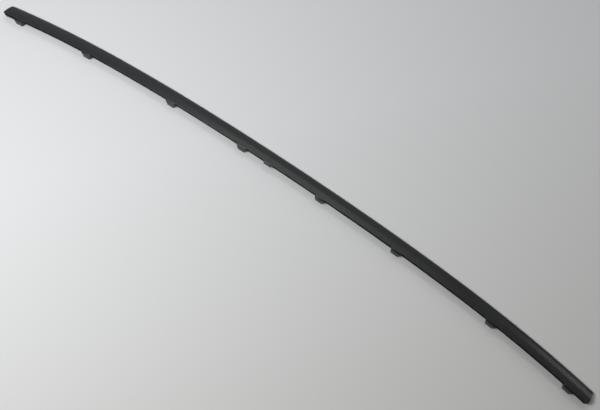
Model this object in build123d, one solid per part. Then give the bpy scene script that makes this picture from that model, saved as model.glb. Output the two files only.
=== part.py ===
"""Bumper trim strip: one long bowed moulding in black plastic.

Millimetres, Z up. X runs along the straight line between the two tips, +Y is the bulging side of
the bow and the lugs hang from the -Y edge. The strip lies as it would on a floor, on its round-edged
rim and the feet of its lugs, so the face is canted and falls towards +Y. Rims and lugs stand upright,
the way the mould draws. A station's frame has x along the strip, y level across it and z up, with its
origin on the floor under the middle of the face.
"""
import os
from math import asin, atan2, cos, degrees, radians, sin, tan

from build123d import *

# Plan of the strip; END_SHARE is where the deeper rims of the noses begin
LENGTH = 1294.0
END_SHARE = 0.948
HALF = LENGTH / 2
BOW_EVEN = 25.5
BOW_ENDS = 16.9
BOW_BREAKS = (0.3, 0.6, 0.85, END_SHARE, 1.0)

# Face and rims
FACE_WIDTH = 26.8
CANT = 18.5
EDGE_HEIGHT = 13.4
SKIN = 2.2
RIM_WALL = 2.0
LUG_RIM_DEPTH = 7.0
END_RIM_DEPTH = 12.0
BEVEL = 2.2
BEVEL_FOOT = 0.8
RIDGE = 0.55
LUG_SIDE_FALL = 1.0
ROUND_START = 0.33
ROUND_FALL = 0.35
FOOT_UPRIGHT = 1.2
CRISP_R = 0.6
RIDGE_R = 12.0

# Noses at the two ends, in plan
NOSE_SLANT = 3.5
NOSE_POINT = 0.13
NOSE_UNDER_CUT = 6.5
NOSE_UNDER = 0.065
NOSE_SHOULDER_R = 4.5
NOSE_TIP_R = 1.0
NOSE_REACH = 30.0
NOSE_OVER = 0.4

# Lugs along the -Y edge, placed as shares of the half length
LUG_STATIONS = (0.1354, 0.3898, 0.6984, 0.944)
SMALL_LUG_STATION = -0.0434
LUG_ROOT = 22.5
LUG_SPLAY = 25.0
LUG_DRAFT = 5.5
LUG_TONGUE = 0.9
LUG_BEND_R = 3.0
LUG_WALL = 2.0
LUG_LEAN = 6.0
LUG_HEEL = 2.0
LUG_CORNER_R = 0.6
LUG_HEADROOM = 1.0
LUG_SINK = 0.03
SMALL_LUG_ROOT = 20.5
SMALL_LUG_DROP = 4.2

# Cross ribs in the hollow back
RIB_COUNT = 24
RIB_THICK = 1.6
RIB_SHORT = 0.8

# Derived
SLOPE = radians(CANT)
HALF_Y = FACE_WIDTH / 2 * cos(SLOPE)
MIDDLE_HEIGHT = EDGE_HEIGHT + LUG_SIDE_FALL * cos(SLOPE) - HALF_Y * tan(SLOPE)


def bow_arcs():
    """Tangent arcs from the middle to the +X tip: (x start, x end, centre x, centre y, radius)."""
    arcs = []
    x, y, heading, low = 0.0, 0.0, 0.0, 0.0
    for high in BOW_BREAKS:
        mean_square = (high**3 - low**3) / (3 * (high - low))
        radius = HALF**2 / (2 * BOW_EVEN + 12 * BOW_ENDS * mean_square)
        cx = x - radius * sin(heading)
        cy = y - radius * cos(heading)
        arcs.append((x, high * HALF, cx, cy, radius))
        heading = asin((high * HALF - cx) / radius)
        x, y, low = high * HALF, cy + radius * cos(heading), high
    return arcs


ARCS = bow_arcs()


def station(x):
    """Frame on the floor under the middle of the face, turned to the bow's heading there."""
    arc = next(a for a in ARCS if abs(x) <= a[1] + 1e-6)
    heading = asin((abs(x) - arc[2]) / arc[4])
    y = arc[3] + arc[4] * cos(heading)
    if x < 0:
        heading = -heading
    return Plane(origin=(x, y, 0), x_dir=(cos(heading), -sin(heading), 0), z_dir=(0, 0, 1))


def at_station(x, shape):
    return station(x).location * shape


def bow_runs():
    """Every arc of the bow from the -X tip to the +X tip: (x start, centre, degrees turned)."""
    runs = []
    for x0, x1, cx, cy, radius in ARCS:
        turn = degrees(asin((x1 - cx) / radius) - asin((x0 - cx) / radius))
        if x0 == 0:
            runs.append((-x1, (cx, cy), 2 * turn))
        else:
            runs.append((x0, (cx, cy), turn))
            runs.append((-x1, (-cx, cy), turn))
    return sorted(runs)


def run_of_section(section, run):
    """A section, drawn y across and z up, turned about the centre of one arc of the bow."""
    x, centre, turn = run
    frame = station(x)
    start = Plane(origin=frame.origin, x_dir=frame.y_dir, z_dir=frame.x_dir)
    axis = Axis((centre[0], centre[1], 0), (0, 0, -1))
    return revolve(start * section, axis=axis, revolution_arc=turn)


def on_face(across, fall=0.0):
    """Section point at a share of the face's width from the +Y side, a fall square below its plane."""
    y = HALF_Y * (1 - 2 * across)
    return Vector(y - fall * sin(SLOPE), MIDDLE_HEIGHT - y * tan(SLOPE) - fall * cos(SLOPE))


RIDGE_POINT = on_face(RIDGE)
EDGE_POINT = Vector(-HALF_Y, EDGE_HEIGHT)
BEVEL_POINT = EDGE_POINT + Vector(-BEVEL, -BEVEL)
LUG_RISE = (EDGE_POINT - RIDGE_POINT).normalized()
LUG_DOWN = Vector(-LUG_RISE.Y, LUG_RISE.X)


def rim_foot(depth):
    """Outer corner at the bottom of the rim on the lug side."""
    return Vector(-HALF_Y, EDGE_HEIGHT - depth)


def outer_section(rim_depth):
    """Outside of the strip, filled down to the line between the feet of its two rims."""
    start = on_face(ROUND_START, ROUND_FALL)
    corner = Vector(HALF_Y, on_face(0, 2 * ROUND_FALL).Y)
    foot = rim_foot(rim_depth)
    under_bevel = BEVEL_POINT - Vector(0, BEVEL_FOOT)
    outline = [
        Line((HALF_Y, 0), (HALF_Y, FOOT_UPRIGHT)),
        Bezier((HALF_Y, FOOT_UPRIGHT), corner, start),
        Polyline(start, RIDGE_POINT, EDGE_POINT, BEVEL_POINT, under_bevel),
        Polyline(under_bevel, (-HALF_Y, under_bevel.Y - BEVEL_FOOT), foot),
        Polyline(foot, foot + Vector(RIM_WALL, 0), (HALF_Y - RIM_WALL, 0), (HALF_Y, 0)),
    ]
    face = make_face(outline)
    face = fillet(face.vertices().sort_by_distance(EDGE_POINT)[0], CRISP_R)
    return fillet(face.vertices().sort_by_distance(RIDGE_POINT)[0], RIDGE_R)


def hollow_section(rim_depth, short=0.0):
    """Hollow of the back under a skin of even thickness; short leaves it closed below the rims."""
    high = rim_foot(rim_depth) + Vector(RIM_WALL, short)
    low = Vector(HALF_Y - RIM_WALL, short)
    crown = on_face(RIDGE, SKIN)
    under_edge = Vector(high.X, on_face(1, SKIN + LUG_SIDE_FALL).Y)
    shoulder = on_face(ROUND_START, SKIN + ROUND_FALL)
    flank = Vector(low.X, FOOT_UPRIGHT)
    points = [high, under_edge, crown, shoulder, flank, low]
    if not short:
        points += [Vector(low.X, -1), Vector(high.X, -1)]
    return make_face(Polyline(*points, close=True))


def nose_waste(side, inset):
    """What is cut away beyond the nose of one end, side = 1 or -1, drawn in plan."""
    high = HALF_Y + NOSE_OVER - inset
    low = -HALF_Y - BEVEL - NOSE_OVER + inset
    point = HALF_Y * (2 * NOSE_POINT - 1)
    under = HALF_Y * (2 * NOSE_UNDER - 1)
    outline = Polyline(
        (-NOSE_REACH, high),
        (-NOSE_SLANT - inset, high),
        (-inset, point),
        (-inset, under),
        (-NOSE_UNDER_CUT - inset, low),
        (-NOSE_REACH, low),
        close=True,
    )
    keep = make_face(outline)
    shoulder = keep.vertices().filter_by(lambda v: v.X > -NOSE_REACH + 1).sort_by(Axis.Y)[-1]
    keep = fillet(shoulder, NOSE_SHOULDER_R - inset)
    tips = keep.vertices().filter_by(lambda v: v.X > -inset - 0.01)
    keep = fillet(tips, NOSE_TIP_R)
    waste = extrude(Rectangle(2 * NOSE_REACH, 3 * FACE_WIDTH) - keep, amount=FACE_WIDTH, both=True)
    if side < 0:
        waste = mirror(waste, about=Plane.YZ)
    return at_station(side * HALF, waste)


def channel():
    """Skin with its rims: open along the back, closed by a deeper rim round each nose."""
    section = outer_section(LUG_RIM_DEPTH) - hollow_section(LUG_RIM_DEPTH)
    outer = outer_section(END_RIM_DEPTH)
    hollow = hollow_section(END_RIM_DEPTH)
    runs = bow_runs()
    strip = Part()
    for run in runs[1:-1]:
        strip += run_of_section(section, run)
    for side, run in ((-1, runs[0]), (1, runs[-1])):
        end = run_of_section(outer, run) - nose_waste(side, 0.0)
        end -= run_of_section(hollow, run) - nose_waste(side, RIM_WALL)
        strip += end
    return strip


def lug_line(inset, back, low):
    """Side view of a lug from its root at y = back down to z = low: the tongue carries on the face
    and bends into a slightly leaning end wall. inset is 0 outside and the wall for the hollow."""
    edge = EDGE_POINT + LUG_DOWN * (LUG_SINK + inset)
    root = edge + LUG_RISE * ((back - edge.X) / LUG_RISE.X)
    bend = edge + LUG_RISE * LUG_TONGUE
    radius = LUG_BEND_R - inset
    start = degrees(atan2(-LUG_DOWN.Y, -LUG_DOWN.X))
    arc = CenterArc(bend + LUG_DOWN * radius, radius, start, 180 - LUG_LEAN - start)
    wall = arc @ 1
    foot = Vector(wall.X - (wall.Y - low) * tan(radians(LUG_LEAN)), low)
    return root, [Line(root, bend), arc, Line(wall, foot)], foot


def lug_plan(root, wall=0.0):
    """Drafted prism that bounds a lug sideways, or its hollow inside a wall: it closes in both
    outwards, towards the end wall, and downwards."""
    inner = -HALF_Y + 2 * RIM_WALL
    end = -HALF_Y - 3 * LUG_BEND_R
    half = root / 2 - wall
    wide = half + (inner + HALF_Y) * tan(radians(LUG_SPLAY))
    narrow = half + (end + HALF_Y) * tan(radians(LUG_SPLAY))
    plan = Polyline((wide, inner), (narrow, end), (-narrow, end), (-wide, inner), close=True)
    top = EDGE_HEIGHT + LUG_HEADROOM
    return extrude(Pos(0, 0, top) * make_face(plan), amount=-top - LUG_HEADROOM, taper=LUG_DRAFT)


def lug(root, stop=0.0):
    """Open-bottomed box: tongue, end wall and two side walls. It ends at z = stop."""
    back = -HALF_Y + RIM_WALL / 2
    start, line, foot = lug_line(0.0, back, 0.0)
    sole = Polyline(foot, foot + Vector(LUG_WALL, 0), (back, LUG_HEEL), start)
    body = extrude(Plane.YZ * make_face(line + [sole]), amount=root, both=True)
    body &= lug_plan(root)
    shoulders = body.edges().filter_by(
        lambda e: e.center().Y < -HALF_Y - LUG_TONGUE / 2 and e.center().Z > LUG_HEEL
        and abs(e.center().X) > root / 4
    )
    body = fillet(shoulders, LUG_CORNER_R)
    inside = -HALF_Y + RIM_WALL
    start, line, foot = lug_line(LUG_WALL, inside, -LUG_HEADROOM)
    hollow = make_face(line + [Polyline(foot, (inside, -LUG_HEADROOM), start)])
    body -= extrude(Plane.YZ * hollow, amount=root, both=True) & lug_plan(root, LUG_WALL)
    if stop:
        below = Box(2 * root, 4 * FACE_WIDTH, 2 * EDGE_HEIGHT)
        body -= Pos(0, 0, stop - EDGE_HEIGHT) * below
    return body


def lugs():
    full = lug(LUG_ROOT)
    small = lug(SMALL_LUG_ROOT, EDGE_HEIGHT - SMALL_LUG_DROP)
    places = [share * HALF for share in LUG_STATIONS]
    pairs = [at_station(side * x, full) for x in places for side in (-1, 1)]
    return pairs + [at_station(SMALL_LUG_STATION * HALF, small)]


def ribs():
    """Thin cross ribs in the hollow, a little shorter than the rims and grown into the skin."""
    section = hollow_section(LUG_RIM_DEPTH, RIB_SHORT)
    grown = offset(section, RIM_WALL / 4, kind=Kind.INTERSECTION)
    plate = extrude(Plane.YZ * grown, amount=RIB_THICK / 2, both=True)
    pitch = LENGTH / RIB_COUNT
    return [at_station(-HALF + pitch * (i + 0.5), plate) for i in range(RIB_COUNT)]


def trim_strip():
    strip = channel()
    strip = strip.fuse(*ribs(), *lugs())
    box = strip.bounding_box()
    return Pos(-box.center().X, -box.center().Y, -box.min.Z) * strip


os.makedirs("parts", exist_ok=True)
part = trim_strip()
print("solids", len(part.solids()), "valid", part.is_valid, "volume cm3", part.volume / 1000)
print("box", part.bounding_box())
export_step(part, "parts/trim_strip.step")
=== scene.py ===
"""Bumper trim strip lying face up on a pale grey floor under soft studio light."""
import math

import bmesh
import bpy
from mathutils import Matrix, Vector
from mathutils.bvhtree import BVHTree


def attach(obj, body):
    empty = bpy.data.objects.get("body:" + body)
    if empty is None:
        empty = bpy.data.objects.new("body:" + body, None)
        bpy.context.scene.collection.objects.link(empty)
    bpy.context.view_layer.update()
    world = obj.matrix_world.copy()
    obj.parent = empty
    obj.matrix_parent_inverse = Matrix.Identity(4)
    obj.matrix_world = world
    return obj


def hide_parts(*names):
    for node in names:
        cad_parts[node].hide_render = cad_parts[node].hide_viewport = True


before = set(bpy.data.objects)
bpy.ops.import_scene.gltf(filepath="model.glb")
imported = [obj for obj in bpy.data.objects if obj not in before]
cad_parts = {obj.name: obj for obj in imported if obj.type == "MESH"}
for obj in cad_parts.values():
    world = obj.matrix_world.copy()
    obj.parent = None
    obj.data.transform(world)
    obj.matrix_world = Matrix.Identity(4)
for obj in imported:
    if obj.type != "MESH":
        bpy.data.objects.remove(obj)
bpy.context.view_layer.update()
scene = bpy.context.scene


# The camera
# It looks steeply down on the strip from the side of the lugs, so the strip runs from the upper
# left to the lower right of the picture and the lugs' end walls face it. It is turned about the
# upright, tipped away from straight down and rolled a little about its own axis.
focal_px, frame_px, sensor_mm = 700.0, 600.0, 36.0
turn, tip, roll = math.radians(36.796), math.radians(18.667), math.radians(-1.559)
aim, away = Vector((0.06366, -0.02013, 0.0)), 1.2614
forward = Vector((-math.sin(tip) * math.sin(turn),
                  math.sin(tip) * math.cos(turn),
                  -math.cos(tip)))
right = Vector((math.cos(turn), math.sin(turn), 0))
up = right.cross(forward)
level = Matrix((right, up, -forward)).transposed().to_4x4()
lens = bpy.data.cameras.new("camera")
lens.sensor_width = sensor_mm
lens.lens = sensor_mm * focal_px / frame_px
camera = bpy.data.objects.new("camera", lens)
scene.collection.objects.link(camera)
stand_at = Matrix.Translation(aim - forward * away)
camera.matrix_world = stand_at @ level @ Matrix.Rotation(roll, 4, "Z")
scene.camera = camera


# The strip
# One injection moulding in filled polypropylene. Its skin is welded from the loose triangles of the
# solid, shaded smooth across its rounded edges and crisp where the mould has corners. Inside the
# hollow back, ejector pins have left a small round pad between every two ribs. Metres.
half_length, bow_even, bow_ends, bow_middle = 0.647, 0.0255, 0.0169, 0.02227
rib_pitch, bays = 0.0539167, 23
pad_radius, pad_height, pad_sides, pad_across = 0.0021, 0.0007, 28, 0.0015
below_floor, probe_reach = -0.01, 0.05
same_point, no_length, crisp_angle = 2e-6, 1e-6, math.radians(28)
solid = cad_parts["trim_strip"]
mesh = solid.data.copy()
weld = bmesh.new()
weld.from_mesh(mesh)
bmesh.ops.remove_doubles(weld, verts=weld.verts, dist=same_point)
bmesh.ops.dissolve_degenerate(weld, edges=weld.edges, dist=no_length)
weld.to_mesh(mesh)
weld.free()
strip = bpy.data.objects.new("moulding", mesh)
scene.collection.objects.link(strip)

pads = bpy.data.node_groups.new("ejector_pads", "GeometryNodeTree")
for title, kind in (
    ("Moulding", "Geometry"), ("Count", "Int"), ("Pitch", "Float"), ("Across", "Float"),
    ("Radius", "Float"), ("Height", "Float"), ("Half Length", "Float"), ("Bow Even", "Float"),
    ("Bow Ends", "Float"), ("Bow Middle", "Float"), ("Material", "Material"),
):
    pads.interface.new_socket(title, in_out="INPUT", socket_type="NodeSocket" + kind)
pads.interface.new_socket("Moulding", in_out="OUTPUT", socket_type="NodeSocketGeometry")
tree, wire = pads.nodes, pads.links
given = tree.new("NodeGroupInput")
result = tree.new("NodeGroupOutput")


def calc(operation, first, second):
    node = tree.new("ShaderNodeMath")
    node.operation = operation
    for socket, source in zip(node.inputs, (first, second)):
        if isinstance(source, (int, float)):
            socket.default_value = source
        else:
            wire.new(source, socket)
    return node.outputs["Value"]


# A row of points along the strip, one in the middle of every bay between two ribs
row = tree.new("GeometryNodeMeshLine")
wire.new(given.outputs["Count"], row.inputs["Count"])
gaps = calc("SUBTRACT", given.outputs["Count"], 1)
reach = calc("MULTIPLY", gaps, calc("MULTIPLY", given.outputs["Pitch"], -0.5))
begin = tree.new("ShaderNodeCombineXYZ")
wire.new(reach, begin.inputs["X"])
stride = tree.new("ShaderNodeCombineXYZ")
wire.new(given.outputs["Pitch"], stride.inputs["X"])
wire.new(begin.outputs["Vector"], row.inputs["Start Location"])
wire.new(stride.outputs["Vector"], row.inputs["Offset"])

# Each point follows the bow and is thrown up from below on to the ceiling of the hollow.
here = tree.new("GeometryNodeInputPosition")
split = tree.new("ShaderNodeSeparateXYZ")
wire.new(here.outputs["Position"], split.inputs["Vector"])
share = calc("DIVIDE", split.outputs["X"], given.outputs["Half Length"])
square = calc("MULTIPLY", share, share)
even = calc("MULTIPLY", given.outputs["Bow Even"], square)
ends = calc("MULTIPLY", given.outputs["Bow Ends"], calc("MULTIPLY", square, square))
middle_line = calc("SUBTRACT", calc("SUBTRACT", given.outputs["Bow Middle"], even), ends)
under = tree.new("ShaderNodeCombineXYZ")
wire.new(split.outputs["X"], under.inputs["X"])
wire.new(calc("ADD", middle_line, given.outputs["Across"]), under.inputs["Y"])
under.inputs["Z"].default_value = below_floor
probe = tree.new("GeometryNodeRaycast")
wire.new(given.outputs["Moulding"], probe.inputs["Target Geometry"])
wire.new(under.outputs["Vector"], probe.inputs["Source Position"])
probe.inputs["Ray Direction"].default_value = (0, 0, 1)
probe.inputs["Ray Length"].default_value = probe_reach
seat = tree.new("GeometryNodeSetPosition")
wire.new(row.outputs["Mesh"], seat.inputs["Geometry"])
wire.new(probe.outputs["Hit Position"], seat.inputs["Position"])

# A low round pad stands on every point, square to the ceiling and half sunk in it.
lean = tree.new("FunctionNodeAlignRotationToVector")
lean.axis = "Z"
wire.new(probe.outputs["Hit Normal"], lean.inputs["Vector"])
disc = tree.new("GeometryNodeMeshCylinder")
disc.inputs["Vertices"].default_value = pad_sides
wire.new(given.outputs["Radius"], disc.inputs["Radius"])
wire.new(given.outputs["Height"], disc.inputs["Depth"])
stand = tree.new("GeometryNodeInstanceOnPoints")
wire.new(seat.outputs["Geometry"], stand.inputs["Points"])
wire.new(disc.outputs["Mesh"], stand.inputs["Instance"])
wire.new(lean.outputs["Rotation"], stand.inputs["Rotation"])
both = tree.new("GeometryNodeJoinGeometry")
wire.new(stand.outputs["Instances"], both.inputs["Geometry"])
wire.new(given.outputs["Moulding"], both.inputs["Geometry"])
made = tree.new("GeometryNodeRealizeInstances")
wire.new(both.outputs["Geometry"], made.inputs["Geometry"])
paint = tree.new("GeometryNodeSetMaterial")
wire.new(made.outputs["Geometry"], paint.inputs["Geometry"])
wire.new(given.outputs["Material"], paint.inputs["Material"])
wire.new(paint.outputs["Geometry"], result.inputs["Moulding"])

face_plastic = bpy.data.materials.new("satin_black_plastic")
back_plastic = bpy.data.materials.new("plain_black_plastic")
maker = strip.modifiers.new("ejector_pads", "NODES")
maker.node_group = pads
settings = {
    "Count": bays, "Pitch": rib_pitch, "Across": pad_across, "Radius": pad_radius,
    "Height": pad_height, "Half Length": half_length, "Bow Even": bow_even, "Bow Ends": bow_ends,
    "Bow Middle": bow_middle, "Material": back_plastic,
}
for item in pads.interface.items_tree:
    if item.in_out == "INPUT" and item.name in settings:
        maker[item.identifier] = settings[item.name]
depsgraph = bpy.context.evaluated_depsgraph_get()
mesh = bpy.data.meshes.new_from_object(strip.evaluated_get(depsgraph))
strip.modifiers.clear()
strip.data = mesh
mesh.materials.clear()
mesh.materials.append(face_plastic)
mesh.materials.append(back_plastic)
old_shading = ("custom_normal", "sharp_face", "sharp_edge")
for name in [a.name for a in mesh.attributes if a.name in old_shading]:
    mesh.attributes.remove(mesh.attributes[name])
mesh.shade_smooth()
mesh.set_sharp_from_angle(angle=crisp_angle)

# What looks into the hollow or down at the floor has the plain plastic of the back.
lift_off, widest_hollow, facing_down = 1e-5, 0.035, -0.3
surface = BVHTree.FromPolygons([v.co for v in mesh.vertices], [p.vertices for p in mesh.polygons])
for polygon in mesh.polygons:
    start = polygon.center + polygon.normal * lift_off
    hit = surface.ray_cast(start, polygon.normal, widest_hollow)[0]
    in_back = hit is not None or polygon.normal.z < facing_down
    polygon.material_index = 1 if in_back else 0

# The flow map runs along the strip in u and across it, from the line of the bow, in v.
while mesh.uv_layers:
    mesh.uv_layers.remove(mesh.uv_layers[0])
flow = mesh.uv_layers.new(name="flow")
for loop in mesh.loops:
    x, y, z = mesh.vertices[loop.vertex_index].co
    share = x / half_length
    bow = bow_middle - bow_even * share**2 - bow_ends * share**4
    flow.data[loop.index].uv = (x, y - bow)
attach(strip, "root")
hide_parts("trim_strip")


# The grain of the mould
# A spark-eroded mould prints a fine, even grain on the plastic, and the filler mottles its tone and
# sheen. Both materials use it, each with its own grain size.
grain = bpy.data.node_groups.new("moulded_grain", "ShaderNodeTree")
for title, way, kind in (
    ("Place", "INPUT", "Vector"), ("Grains per Metre", "INPUT", "Float"),
    ("Mottle per Metre", "INPUT", "Float"), ("Height", "OUTPUT", "Float"),
    ("Mottle", "OUTPUT", "Float"),
):
    grain.interface.new_socket(title, in_out=way, socket_type="NodeSocket" + kind)
pip_share = 0.6
parts, joins = grain.nodes, grain.links
fed = parts.new("NodeGroupInput")
out = parts.new("NodeGroupOutput")
pips = parts.new("ShaderNodeTexVoronoi")
pips.feature = "SMOOTH_F1"
joins.new(fed.outputs["Place"], pips.inputs["Vector"])
joins.new(fed.outputs["Grains per Metre"], pips.inputs["Scale"])
rough = parts.new("ShaderNodeTexNoise")
rough.inputs["Detail"].default_value = 3.0
joins.new(fed.outputs["Place"], rough.inputs["Vector"])
joins.new(fed.outputs["Grains per Metre"], rough.inputs["Scale"])
height = parts.new("ShaderNodeMath")
height.operation = "MULTIPLY_ADD"
height.inputs[1].default_value = pip_share
joins.new(pips.outputs["Distance"], height.inputs[0])
joins.new(rough.outputs["Fac"], height.inputs[2])
joins.new(height.outputs["Value"], out.inputs["Height"])
cloud = parts.new("ShaderNodeTexNoise")
cloud.inputs["Detail"].default_value = 4.0
joins.new(fed.outputs["Place"], cloud.inputs["Vector"])
joins.new(fed.outputs["Mottle per Metre"], cloud.inputs["Scale"])
joins.new(cloud.outputs["Fac"], out.inputs["Mottle"])


def print_grain(material, grains, mottles, strength, depth):
    """Put the grain in a material as a bump; gives its nodes, links, shader, place and grain."""
    material.use_nodes = True
    nodes, links = material.node_tree.nodes, material.node_tree.links
    shader = nodes["Principled BSDF"]
    spot = nodes.new("ShaderNodeTexCoord")
    printed = nodes.new("ShaderNodeGroup")
    printed.node_tree = grain
    printed.inputs["Grains per Metre"].default_value = grains
    printed.inputs["Mottle per Metre"].default_value = mottles
    links.new(spot.outputs["Object"], printed.inputs["Place"])
    bump = nodes.new("ShaderNodeBump")
    bump.inputs["Strength"].default_value = strength
    bump.inputs["Distance"].default_value = depth
    links.new(printed.outputs["Height"], bump.inputs["Height"])
    links.new(bump.outputs["Normal"], shader.inputs["Normal"])
    return nodes, links, shader, spot, printed


# Satin black plastic of the face, rims and lugs
# The melt ran along the strip and left faint long streaks in the sheen. The crisp edge above the lugs
# is painted paler in patches as a painted highlight of glints on it, and a thin veil of dust lies on
# the skin.
nodes, links, shader, spot, printed = print_grain(face_plastic, 1300.0, 26.0, 0.22, 0.0002)

streak_scale, mottle_share = (5.0, 420.0, 1.0), 0.4
smoothest, roughest = 0.25, 0.35
along = nodes.new("ShaderNodeUVMap")
along.uv_map = "flow"
stretch = nodes.new("ShaderNodeMapping")
stretch.inputs["Scale"].default_value = streak_scale
links.new(along.outputs["UV"], stretch.inputs["Vector"])
streaks = nodes.new("ShaderNodeTexNoise")
streaks.inputs["Scale"].default_value = 1.0
streaks.inputs["Detail"].default_value = 3.0
links.new(stretch.outputs["Vector"], streaks.inputs["Vector"])
blend = nodes.new("ShaderNodeMath")
blend.operation = "MULTIPLY_ADD"
blend.inputs[1].default_value = mottle_share
links.new(printed.outputs["Mottle"], blend.inputs[0])
links.new(streaks.outputs["Fac"], blend.inputs[2])
gloss = nodes.new("ShaderNodeMapRange")
gloss.inputs["From Min"].default_value = 0.4
gloss.inputs["From Max"].default_value = 1.0
gloss.inputs["To Min"].default_value = smoothest
gloss.inputs["To Max"].default_value = roughest
links.new(blend.outputs["Value"], gloss.inputs["Value"])
links.new(gloss.outputs["Result"], shader.inputs["Roughness"])

# Painted highlight: a paler colour in patches along the crisp edge above the lugs stands in for glints
# on it.
edge_place, edge_core, edge_spread, patches_per_metre = -0.0127, 0.0002, 0.0007, 120.0
across = nodes.new("ShaderNodeSeparateXYZ")
links.new(along.outputs["UV"], across.inputs["Vector"])
from_edge = nodes.new("ShaderNodeMath")
from_edge.operation = "SUBTRACT"
from_edge.inputs[1].default_value = edge_place
links.new(across.outputs["Y"], from_edge.inputs[0])
off_edge = nodes.new("ShaderNodeMath")
off_edge.operation = "ABSOLUTE"
links.new(from_edge.outputs["Value"], off_edge.inputs[0])
line = nodes.new("ShaderNodeMapRange")
line.inputs["From Min"].default_value = edge_spread
line.inputs["From Max"].default_value = edge_core
links.new(off_edge.outputs["Value"], line.inputs["Value"])
patchy = nodes.new("ShaderNodeTexNoise")
patchy.inputs["Scale"].default_value = patches_per_metre
patchy.inputs["Detail"].default_value = 3.0
links.new(spot.outputs["Object"], patchy.inputs["Vector"])
where = nodes.new("ShaderNodeMapRange")
where.inputs["From Min"].default_value = 0.42
where.inputs["From Max"].default_value = 0.66
links.new(patchy.outputs["Fac"], where.inputs["Value"])
painted_glints = nodes.new("ShaderNodeMath")
painted_glints.operation = "MULTIPLY"
links.new(line.outputs["Result"], painted_glints.inputs[0])
links.new(where.outputs["Result"], painted_glints.inputs[1])

clean, dusty, painted_glint_colour = (0.0065, 0.0070, 0.0076, 1), (0.0110, 0.0114, 0.0118, 1), (0.045, 0.047, 0.048, 1)
veil = nodes.new("ShaderNodeMix")
veil.data_type = "RGBA"
veil.inputs["A"].default_value = clean
veil.inputs["B"].default_value = dusty
links.new(printed.outputs["Mottle"], veil.inputs["Factor"])
# Mixes in the painted highlight colour along the crisp edge.
painted_glint_mix = nodes.new("ShaderNodeMix")
painted_glint_mix.data_type = "RGBA"
painted_glint_mix.inputs["B"].default_value = painted_glint_colour
links.new(painted_glints.outputs["Value"], painted_glint_mix.inputs["Factor"])
links.new(veil.outputs["Result"], painted_glint_mix.inputs["A"])
links.new(painted_glint_mix.outputs["Result"], shader.inputs["Base Color"])


# Plain black plastic of the hollow back
# The core of the mould has a coarser grain than its show side, and the back is duller. Swirls of the
# filler show in it.
nodes, links, shader, spot, printed = print_grain(back_plastic, 600.0, 45.0, 0.2, 0.0002)

gloss = nodes.new("ShaderNodeMapRange")
gloss.inputs["To Min"].default_value = 0.36
gloss.inputs["To Max"].default_value = 0.52
links.new(printed.outputs["Mottle"], gloss.inputs["Value"])
links.new(gloss.outputs["Result"], shader.inputs["Roughness"])
swirl = nodes.new("ShaderNodeMix")
swirl.data_type = "RGBA"
swirl.inputs["A"].default_value = (0.009, 0.009, 0.010, 1)
swirl.inputs["B"].default_value = (0.018, 0.018, 0.019, 1)
links.new(printed.outputs["Mottle"], swirl.inputs["Factor"])
links.new(swirl.outputs["Result"], shader.inputs["Base Color"])


# The floor
# A wide sheet of pale grey board. Its colour is painted shade, darker and a little warmer
# towards the right end of the strip, away from the soft lamp.
lit_floor_colour, painted_shade_colour = (0.775, 0.782, 0.785, 1), (0.66, 0.653, 0.625, 1)
fade_begins, fade_ends = -0.1, 0.6
bpy.ops.mesh.primitive_plane_add(size=8.0)
floor = bpy.context.object
floor.name = "floor"
board = bpy.data.materials.new("pale_board")
board.use_nodes = True
nodes, links = board.node_tree.nodes, board.node_tree.links
spot = nodes.new("ShaderNodeTexCoord")
painted_shade_axis = nodes.new("ShaderNodeVectorMath")
painted_shade_axis.operation = "DOT_PRODUCT"
painted_shade_axis.inputs[1].default_value = (0.75, -0.66, 0.0)
links.new(spot.outputs["Object"], painted_shade_axis.inputs[0])
fade = nodes.new("ShaderNodeMapRange")
fade.inputs["From Min"].default_value = fade_begins
fade.inputs["From Max"].default_value = fade_ends
links.new(painted_shade_axis.outputs["Value"], fade.inputs["Value"])
# Painted shade: blends the board from its lit colour to a darker, warmer one towards the right end.
painted_shade_mix = nodes.new("ShaderNodeMix")
painted_shade_mix.data_type = "RGBA"
painted_shade_mix.inputs["A"].default_value = lit_floor_colour
painted_shade_mix.inputs["B"].default_value = painted_shade_colour
links.new(fade.outputs["Result"], painted_shade_mix.inputs["Factor"])
links.new(painted_shade_mix.outputs["Result"], nodes["Principled BSDF"].inputs["Base Color"])
nodes["Principled BSDF"].inputs["Roughness"].default_value = 0.8
floor.data.materials.append(board)


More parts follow.
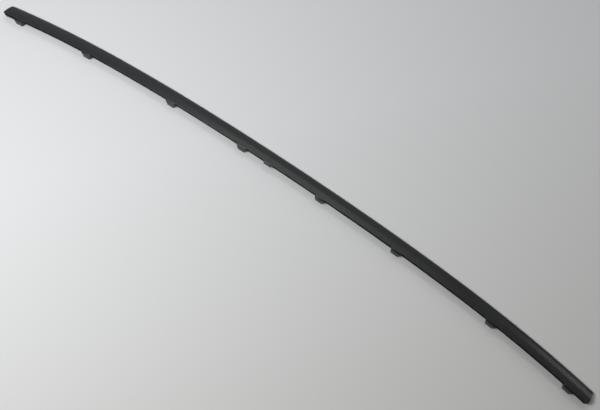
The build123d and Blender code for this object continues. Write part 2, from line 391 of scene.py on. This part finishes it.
# The light
# A soft lamp on the left lights the floor, a long panel beyond the bow, dimmer at its right, shows in
# the face, and a window beyond the right end shows in the upper half of the face there. The room
# around is dim, and brightest beyond the bow on the left.
world = bpy.data.worlds.new("studio")
scene.world = world
world.use_nodes = True
sky, wires = world.node_tree.nodes, world.node_tree.links
place = sky.new("ShaderNodeTexCoord")
aimed = sky.new("ShaderNodeVectorMath")
aimed.operation = "DOT_PRODUCT"
aimed.inputs[1].default_value = Vector((-0.45, 0.75, 0.48)).normalized()
ramp = sky.new("ShaderNodeMapRange")
shade = sky.new("ShaderNodeValToRGB")
wires.new(place.outputs["Generated"], aimed.inputs[0])
wires.new(aimed.outputs["Value"], ramp.inputs["Value"])
ramp.inputs["From Min"].default_value = -1.0
wires.new(ramp.outputs["Result"], shade.inputs["Fac"])
stops = shade.color_ramp.elements
stops[0].position, stops[0].color = 0.3, (0.06, 0.06, 0.06, 1)
stops[1].position, stops[1].color = 0.975, (0.58, 0.59, 0.61, 1)
for position, tone in ((0.74, 0.12), (0.87, 0.24)):
    stop = stops.new(position)
    stop.color = (tone, tone, tone, 1)
wires.new(shade.outputs["Color"], sky["Background"].inputs["Color"])
sky["Background"].inputs["Strength"].default_value = 1.0


def lamp(name, place, aim, width, height, watts, colour):
    data = bpy.data.lights.new(name, "AREA")
    data.shape = "RECTANGLE"
    data.size, data.size_y = width, height
    data.energy = watts
    data.color = colour
    thing = bpy.data.objects.new(name, data)
    thing.location = place
    thing.rotation_euler = (Vector(aim) - Vector(place)).to_track_quat("-Z", "Y").to_euler()
    scene.collection.objects.link(thing)


lamp("soft_lamp", (-0.66, -0.7, 1.38), (-0.2, 0, 0), 0.7, 0.7, 19.5, (0.98, 0.99, 1.0))
lamp("panel", (-0.55, 1.15, 1.5), (-0.1, 0, 0), 0.9, 0.4, 2.7, (1, 1, 1))
lamp("dim_panel", (0.15, 1.15, 1.5), (0.15, 0, 0), 0.5, 0.4, 0.6, (1, 1, 1))
lamp("window", (1.24, 1.48, 0.9), (0.6, 0, 0), 0.4, 0.36, 1.3, (1.0, 1.0, 0.93))
scene.view_settings.view_transform = "Standard"
